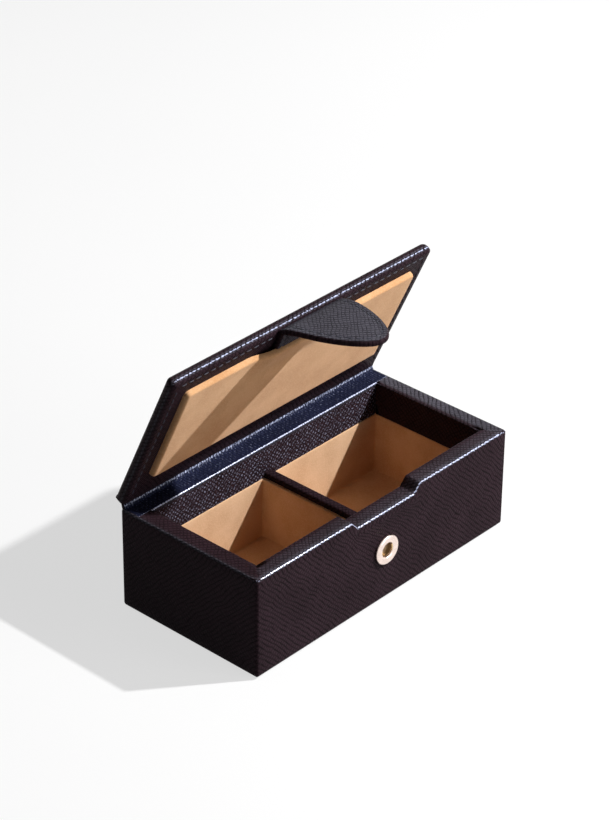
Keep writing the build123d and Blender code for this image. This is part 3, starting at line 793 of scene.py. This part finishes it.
def panel():
    half_x = HALF_WIDTH - PANEL_SIDE
    y_low = PANEL_FRONT - HALF_DEPTH
    y_high = HALF_DEPTH - PANEL_HINGE
    half_y = (y_high - y_low) / 2
    middle = (y_high + y_low) / 2
    edge = [0.0, 0.03, 0.1, 0.2, 0.35, 0.55, 0.8, 1.1, 1.6, 2.4, 4.0]

    def line(half, count):
        inner = steps(-half + 6.0, half - 6.0, count)
        return [-half + e for e in edge] + inner + [half - e for e in reversed(edge)]

    xs = line(half_x, 60)
    ys = line(half_y, 26)
    rows = []
    for v in ys:
        row = []
        for u in xs:
            x, y = u, v
            qx = abs(u) - (half_x - PANEL_CORNER)
            qy = abs(v) - (half_y - PANEL_CORNER)
            if qx > 0 and qy > 0:
                reach = max(qx, qy)
                scale = reach / math.hypot(qx, qy)
                x = math.copysign(half_x - PANEL_CORNER + qx * scale, u)
                y = math.copysign(half_y - PANEL_CORNER + qy * scale, v)
            inset = max(rounded_inset(x, y, half_x, half_y, PANEL_CORNER), 0.0)
            t = min(inset / PANEL_EDGE, 1.0)
            rise = PANEL_PROUD * math.sqrt(max(1 - (1 - t) ** 2, 0.0))
            over = smoothstep((TAB_HALF + LIFT_SPREAD - abs(x)) / LIFT_SPREAD)
            along = 1 - smoothstep((y + half_y) / LIFT_LENGTH)
            lift = LIFT * over * along
            row.append((x, y + middle, -(rise + lift)))
        rows.append(row)
    sheets = Sheets()
    sheets.grid(rows, lambda fr, fc, r, c: (rows[r][c][0], rows[r][c][1]))
    cover = sheets.piece("lid_panel", PANEL_FINISH, LID)
    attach(cover, "lid")
    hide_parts("panel_cover", "panel_pad")


panel()


# ---- Closing tab: strap, fold and half-moon, drawn flat and laid along its bend
STRAP_LENGTH = 7.4
# Where the bend leaves the lid's edge and how it arrives at the flat part of the tab.
FACE_START = Vector((-HALF_DEPTH, 0.0))
BEND_LEAVE = Vector((-0.9, -0.43)) * 2.6
BEND_ARRIVE = 4.0
EDGE_ROUND = 1.0
STITCH_GROOVE = 0.2
GROOVE_WIDTH = 0.35
STITCH_SUNK = 0.14
# Painted sheen on the tab's face, inside its rounded edge.
TAB_PAINTED_SHEEN = 0.28


def bezier(a, b, c, d, t):
    return a * (1 - t) ** 3 + b * 3 * t * (1 - t) ** 2 + c * 3 * t * t * (1 - t) + d * t ** 3


def bend_path():
    """The tab's outer face in the lid's YZ section: points along its bend, and its direction beyond them."""
    body = LID.inverted() @ TAB
    root = (body @ Vector((0, 0, 0))).yz
    end = (body @ Vector((0, 0, -TAB_FOLD))).yz
    away = (end - root).normalized()
    leave = FACE_START + BEND_LEAVE
    arrive = end - away * BEND_ARRIVE
    return [bezier(FACE_START, leave, arrive, end, t) for t in steps(0, 1, 24)], away


def along_bend(v):
    """Position and direction on the bend: v counts from the lid's edge, negative on the strap."""
    if v <= 0:
        return FACE_START + Vector((-v, 0.0)), Vector((-1.0, 0.0))
    points, away = BEND
    left = v
    for a, b in zip(points, points[1:]):
        length = (b - a).length
        if left <= length:
            return a + (b - a) * (left / length), (b - a).normalized()
        left -= length
    return points[-1] + away * left, away


BEND = bend_path()
BEND_LENGTH = sum((b - a).length for a, b in zip(BEND[0], BEND[0][1:]))
MOON_START = BEND_LENGTH - TAB_FOLD


def moon_edge(t, inset):
    """A point of the half-moon's edge, t from the left root (0) over the tip (1) to the right root (2)."""
    width = TAB_HALF - inset
    length = TAB_LENGTH - inset
    s = t if t <= 1 else 2 - t
    sign = -1 if t <= 1 else 1
    x = bezier(width, width, TAB_TIP_ROUNDNESS * width, 0.0, s)
    v = bezier(0.0, TAB_SIDE_ROUNDNESS * length, length, length, s)
    return sign * x, MOON_START + v


def bent(x, v, n):
    """A point of the tab: x across, v along from the lid's edge, n above the outer face."""
    centre, direction = along_bend(v)
    normal = Vector((direction.y, -direction.x))
    spot = centre + normal * n
    return (x, spot.x, spot.y)


def join_middle(mesh):
    """Joins the two halves of the tab where they meet."""
    work = bmesh.new()
    work.from_mesh(mesh)
    bmesh.ops.remove_doubles(work, verts=work.verts, dist=0.01 * MM)
    work.to_mesh(mesh)
    work.free()


def blend_over_bend(piece):
    """Bakes the piece's placing into its points."""
    end = LID @ Vector(bent(0, BEND_LENGTH, 0)) * MM
    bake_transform(piece)


def tab():
    outline = [(-1, -STRAP_LENGTH), (-1, -3.5), (-1, 0.0)] + [(t, None) for t in steps(0, 2, 64)]
    outline += [(1, 0.0), (1, -3.5), (1, -STRAP_LENGTH)]
    insets = [EDGE_ROUND * (1 - math.cos(a)) for a in steps(0, math.pi / 2, 6)]
    insets += [1.5, TAB_STITCH_INSET - 0.3, TAB_STITCH_INSET, TAB_STITCH_INSET + 0.3]
    insets += [3.6, 5.0, 7.0, 9.5, 12.0, TAB_HALF]
    half = TAB_THICKNESS / 2

    def spot(mark, inset):
        t, v = mark
        if v is None:
            return moon_edge(t, inset)
        return (t * (TAB_HALF - inset), v)

    def height(inset):
        t = min(inset / EDGE_ROUND, 1.0)
        groove = STITCH_GROOVE * math.exp(-((inset - TAB_STITCH_INSET) / GROOVE_WIDTH) ** 2)
        return half * math.sqrt(max(1 - (1 - t) ** 2, 0.0)) - groove

    for name, face in (("tab_leather", 1), ("tab_lining_leather", -1)):
        rows = []
        flat = []
        for inset in insets:
            marks = [spot(m, inset) for m in outline]
            flat.append(marks)
            rows.append([bent(x, v, face * height(inset) - half) for x, v in marks])
        sheets = Sheets()
        # The tab's face inside its rounded edge gets a painted sheen.
        sheets.grid(rows, lambda fr, fc, r, c: flat[r][c], wear=lambda r, c: TAB_PAINTED_SHEEN if r > 4 else 0.0)
        piece = sheets.piece(name, LEATHER_FINISH, LID)
        join_middle(piece.data)
        blend_over_bend(piece)
        if face > 0:
            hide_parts("tab_strap", "tab_fold", "tab_outer_leather")
        else:
            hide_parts("tab_lining")


tab()


# ---- Stitches: short waxed threads that dip into the leather at both ends
STITCH_CLEAR_OF_TAB = 1.6


def stitch_mesh(name, stitches, finish, place):
    """stitches: (centre, along, up) with unit vectors; all in one piece."""
    sheets = Sheets()
    sides = 8
    for centre, along, up in stitches:
        side = along.cross(up)
        rows = []
        for t in steps(-1, 1, 6):
            radius = STITCH_RADIUS * math.sqrt(max(1 - abs(t) ** 4, 0.04))
            lift = STITCH_RADIUS * 0.55 * (1 - t * t) - STITCH_RADIUS * 0.15
            middle = centre + along * (t * STITCH_LENGTH / 2) + up * lift
            rows.append([tuple(middle + side * (radius * math.cos(a)) + up * (radius * 0.8 * math.sin(a)))
                         for a in steps(0, 2 * math.pi, sides)[:-1]])
        sheets.grid(rows, lambda fr, fc, r, c: (c * 0.2, r * 0.4), loop=True)
    return sheets.piece(name, finish, place)


def lid_stitches():
    line_x = HALF_WIDTH - LID_STITCH_INSET
    line_y = LID_STITCH_INSET - HALF_DEPTH
    down = Vector((0, 0, -1))
    along_x = Vector((1, 0, 0))
    along_y = Vector((0, 1, 0))
    stitches = []
    start = TAB_HALF + STITCH_CLEAR_OF_TAB + STITCH_LENGTH / 2
    for i in range(int((line_x - start) / STITCH_PITCH) + 1):
        for sign in (-1, 1):
            stitches.append((Vector((sign * (start + i * STITCH_PITCH), line_y, 0)), along_x, down))
    for i in range(int((2 * HALF_DEPTH - 2 * LID_STITCH_INSET) / STITCH_PITCH)):
        for sign in (-1, 1):
            stitches.append((Vector((sign * line_x, line_y + (i + 1) * STITCH_PITCH, 0)), along_y, down))
    thread_piece = stitch_mesh("lid_thread", stitches, THREAD_FINISH, LID)
    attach(thread_piece, "lid")
    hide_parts("lid_stitching")


lid_stitches()


def tab_stitches():
    samples = [moon_edge(t, TAB_STITCH_INSET) for t in steps(0, 2, 400)]
    travelled = travel(samples)
    total = travelled[-1]
    count = int(total / STITCH_PITCH)
    stitches = []
    for i in range(count):
        want = total / 2 + (i + 0.5 - count / 2) * STITCH_PITCH
        near = min(range(len(samples)), key=lambda j: abs(travelled[j] - want))
        x, v = samples[near]
        a = samples[max(near - 2, 0)]
        b = samples[min(near + 2, len(samples) - 1)]
        low = Vector(bent(a[0], a[1], 0))
        high = Vector(bent(b[0], b[1], 0))
        above = Vector(bent(x, v, 1)) - Vector(bent(x, v, 0))
        sunk = Vector(bent(x, v, -STITCH_SUNK))
        stitches.append((sunk, (high - low).normalized(), above.normalized()))
    thread_piece = stitch_mesh("tab_thread", stitches, THREAD_FINISH, LID)
    blend_over_bend(thread_piece)
    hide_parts("tab_stitching")


tab_stitches()


# ---- Leather hinge: the inner strip over the back rim and the spine behind
# The strip's bend from the rim to the lid, as (y, height above the strip's top), and the two points that pull
# the spine's bend outward.
STRIP_BEND = ((28.6, 0.02), (29.1, 0.15), (29.4, 0.65), (29.55, 1.1))
SPINE_PULL = [(HALF_DEPTH + 0.5, 39.4), (HALF_DEPTH + 0.6, 40.4)]
SPINE_INNER = 29.7
SPINE_LAP = 1.8


def extruded(name, profile, half_width, finish, wear):
    """A closed YZ outline run along X, with its two end faces; the last argument says how much painted sheen
    and painted highlight each point of it gets.
    """
    sheets = Sheets()
    xs = steps(-half_width, half_width, 40)
    travelled = travel(profile + profile[:1])
    rows = [[(x, y, z) for y, z in profile] for x in xs]

    def uv(fr, fc, r, c):
        wrapped = travelled[-1] if c == 0 and fc == len(profile) - 1 else travelled[c]
        return (xs[r], wrapped)

    sheets.grid(rows, uv, loop=True, wear=lambda r, c: wear.get(c, 0.0))
    for row, order in ((rows[0], -1), (rows[-1], 1)):
        first = len(sheets.points)
        sheets.points += row
        sheets.wear += [0.0] * len(row)
        sheets.cap(range(first, first + len(row))[::order], (1, 2))
    return sheets.piece(name, finish)


def lid_section(y, z):
    """A point of the lid's section in the box's own frame."""
    point = LID @ Vector((0, y, z))
    return (point.y, point.z)


def hinge():
    heel_in = lid_section(HALF_DEPTH, 0.0)
    heel_back = lid_section(HALF_DEPTH, LEATHER)
    inner = HALF_DEPTH - BACK_RIM
    arc = steps(0, math.pi / 2, 5)
    edge = INNER_EDGE + STRIP_LAP
    nose_y = inner + INNER_EDGE
    nose_z = RIM_HEIGHT - INNER_EDGE
    nose = [(nose_y - edge * math.cos(a), nose_z + edge * math.sin(a)) for a in arc]
    top = RIM_HEIGHT + STRIP_LAP
    bend = [(y, top + rise) for y, rise in STRIP_BEND]
    strip = [(inner - STRIP_LAP, RIM_HEIGHT - LEATHER)] + nose + [(y, top) for y in (25.0, 27.0)] + bend
    strip += [heel_in, heel_back]
    strip += [(HALF_DEPTH - LEATHER, RIM_HEIGHT), (HALF_DEPTH - LEATHER, RIM_HEIGHT - LEATHER)]
    # Painted light: a painted highlight along the strip's nose over the rim's inner edge, painted glints over
    # its top, and a brighter painted highlight at the crease where it meets the lid.
    nose_wear = {1: 0.3, 2: 0.6, 3: 1.0, 4: 1.0, 5: 0.8, 6: 0.5}
    crease_wear = {7: 0.56, 8: 0.56, 9: 0.56, 10: 0.56, 11: 0.6, 12: 0.8, 13: 0.7}
    piece = extruded("hinge_leather", strip, HALF_WIDTH - LEATHER, RIBBED_FINISH, nose_wear | crease_wear)
    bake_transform(piece)
    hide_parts("hinge_strip")

    top_out = lid_section(HALF_DEPTH, SPINE_LAP)
    top_in = lid_section(HALF_DEPTH - LEATHER, SPINE_LAP)
    low_in = lid_section(HALF_DEPTH - LEATHER, LEATHER)
    spine = [(SPINE_INNER, SPINE_BOTTOM), (HALF_DEPTH, SPINE_BOTTOM)]
    outer = [(HALF_DEPTH, SPINE_BOTTOM)] + SPINE_PULL + [top_out]
    spine += [tuple(bezier(*[Vector(p) for p in outer], t)) for t in steps(0, 1, 8)[1:]]
    spine += [top_in, low_in, heel_back, (SPINE_INNER, RIM_HEIGHT)]
    piece = extruded("spine_leather", spine, HALF_WIDTH - LEATHER, LEATHER_FINISH, {})
    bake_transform(piece)
    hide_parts("hinge_spine")


hinge()


# ---- Floor, light and camera
FLOOR_WIDTH = 6.0
FLOOR_TONES = ((0.86, 0.86, 0.86, 1.0), (0.9, 0.9, 0.9, 1.0))
FLOOR_BOUNCE = (0.3, 0.3, 0.3, 1.0)
WHITE = (1.0, 1.0, 1.0, 1.0)
FLOOR_GLOW = 0.65
AMBIENT = 0.02
LAMP_TARGET = Vector((0, 0, 0.03))


def seen_directly(tree):
    """1 where a ray comes from the camera or by way of gloss or glass, and 0 for the light's own bounces."""
    path = tree.nodes.new("ShaderNodeLightPath")
    seen = path.outputs["Is Camera Ray"]
    for ray in ("Is Glossy Ray", "Is Transmission Ray"):
        node = tree.nodes.new("ShaderNodeMath")
        node.operation = "MAXIMUM"
        tree.links.new(seen, node.inputs[0])
        tree.links.new(path.outputs[ray], node.inputs[1])
        seen = node.outputs[0]
    return seen


def floor():
    n = Nodes("floor_finish")
    metres = n.add("ShaderNodeTexCoord").outputs["Object"]
    tone = n.remap(n.noise(metres, 3.0), 0.3, 0.7)
    seen = seen_directly(n.tree)
    pale = n.blend(tone, *FLOOR_TONES)
    n.shade(Base_Color=n.blend(seen, FLOOR_BOUNCE, pale), Roughness=0.9, Specular_IOR_Level=0.0)
    glow = n.add("ShaderNodeEmission", Color=WHITE, Strength=1.0)
    mix = n.add("ShaderNodeMixShader", i0=n.math("MULTIPLY", seen, FLOOR_GLOW), i1=n.shader.outputs[0],
                i2=glow.outputs[0])
    n.tree.links.new(mix.outputs[0], n.tree.nodes["Material Output"].inputs["Surface"])
    half = FLOOR_WIDTH / 2
    corners = [(-half, -half, 0), (half, -half, 0), (half, half, 0), (-half, half, 0)]
    mesh = bpy.data.meshes.new("floor")
    mesh.from_pydata(corners, [], [(0, 1, 2, 3)])
    mesh.materials.append(n.material)
    plane = bpy.data.objects.new("floor", mesh)
    bpy.context.scene.collection.objects.link(plane)


floor()


def world():
    sky = bpy.data.worlds.new("studio")
    bpy.context.scene.world = sky
    sky.use_nodes = True
    tree = sky.node_tree
    strength = tree.nodes.new("ShaderNodeMapRange")
    tree.links.new(seen_directly(tree), strength.inputs["Value"])
    strength.inputs["To Min"].default_value = AMBIENT
    strength.inputs["To Max"].default_value = 1.0
    back = tree.nodes["Background"]
    back.inputs["Color"].default_value = WHITE
    tree.links.new(strength.outputs[0], back.inputs["Strength"])


world()


def lamp(name, place, size, power):
    """A round lamp that points at the box: its place in metres, its width and its power in watts."""
    place = Vector(place)
    data = bpy.data.lights.new(name, "AREA")
    data.shape = "DISK"
    data.size = size
    data.energy = power
    light = bpy.data.objects.new(name, data)
    light.location = place
    light.rotation_euler = (LAMP_TARGET - place).to_track_quat("-Z", "Y").to_euler()
    bpy.context.scene.collection.objects.link(light)


lamp("key", (0.78, -0.70, 1.00), 0.04, 31.0)
lamp("top_fill", (-0.1, 0.3, 1.2), 1.0, 0.8)
lamp("front_fill", (0.4, -1.1, 0.3), 0.8, 5.0)

# The photographed view: a long lens from the front left, looking down on the open box.
CAMERA_PLACE = Vector((-0.62485, -0.55506, 0.56989))
CAMERA_RIGHT = Vector((0.67260984, -0.73992762, 0.01015473))
CAMERA_FORWARD = Vector((0.63573043, 0.57076016, -0.51969189))
FOCAL_PIXELS = 2958.67
IMAGE_HEIGHT = 820
camera_data = bpy.data.cameras.new("camera")
camera_data.sensor_fit = "VERTICAL"
camera_data.sensor_height = 36.0
camera_data.lens = FOCAL_PIXELS / IMAGE_HEIGHT * camera_data.sensor_height
camera = bpy.data.objects.new("camera", camera_data)
up = CAMERA_RIGHT.cross(CAMERA_FORWARD).normalized()
turn = Matrix((CAMERA_RIGHT, up, -CAMERA_FORWARD)).transposed()
camera.matrix_world = Matrix.Translation(CAMERA_PLACE) @ turn.to_4x4()
bpy.context.scene.collection.objects.link(camera)
bpy.context.scene.camera = camera
bpy.context.scene.view_settings.view_transform = "Standard"

bpy.context.view_layer.update()
